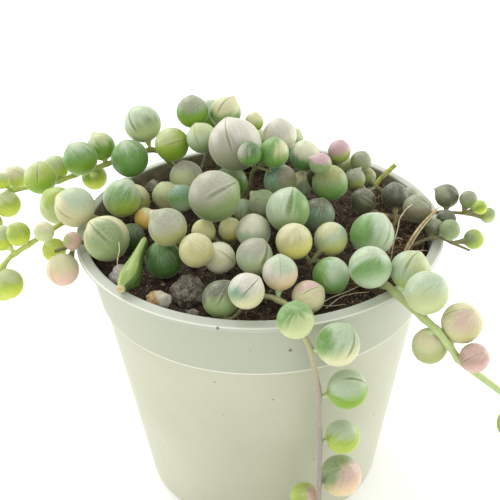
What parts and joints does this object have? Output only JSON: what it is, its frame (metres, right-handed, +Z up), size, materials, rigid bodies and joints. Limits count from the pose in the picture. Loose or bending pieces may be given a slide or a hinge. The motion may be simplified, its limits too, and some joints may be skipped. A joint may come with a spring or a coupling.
{
  "type": "potted string of pearls",
  "caption": "Potted string of pearls: round, pointed succulent leaves on thin stems that creep over soil and trail over the lip of a tapered plastic nursery pot.",
  "frame": {"origin": "centre of the pot's flat underside, on the surface that the pot stands on", "axes": "+Z up along the pot's axis, -Y towards the front that the picture shows, +X to its right"},
  "size_m": [0.154, 0.1155, 0.0942],
  "materials": {
    "pot_plastic": "thin pale grey-green plastic, satin, slightly translucent",
    "soil_mix": "damp peat and coconut fibre, matte",
    "pumice": "rough porous stone",
    "pale_stone": "matte pale stone",
    "green_pearls": "waxy juicy leaf, green with cream patches",
    "pale_pearls": "waxy juicy leaf, cream and yellow with green patches",
    "grey_pearls": "waxy juicy leaf, grey-green with pink",
    "dark_pearls": "waxy juicy leaf, dark grey-green",
    "dry_plant": "dry stem and root"
  },
  "bodies": {
    "root": {"pot": "pot_plastic", "soil": "soil_mix", "pumice_large": "pumice", "pumice_dark": "pumice", "stone_lilac": "pale_stone", "stone_amber": "pale_stone", "grit_front": "pumice", "grit_back": "pale_stone", "grit_right": "pale_stone", "grit_far": "pumice", "old_stem": "dry_plant", "cut_stem": "dry_plant", "dry_root": "dry_plant", "fallen_leaf": "green_pearls", "left_high": "green_pearls", "left_low": "green_pearls", "left_side": "pale_pearls", "left_inner": "green_pearls", "front_trail": "green_pearls", "right_trail": "green_pearls", "far_right": "dark_pearls", "far_low": "dark_pearls", "right_dark": "dark_pearls", "pink_back": "grey_pearls", "back_ridge": "green_pearls", "crown_white": "grey_pearls", "crown_grey": "grey_pearls", "crown_green": "green_pearls", "front_pale": "pale_pearls", "front_white": "pale_pearls", "front_yellow": "pale_pearls", "back_creeper": "green_pearls", "back_trail": "green_pearls"}
  },
  "joints": []
}
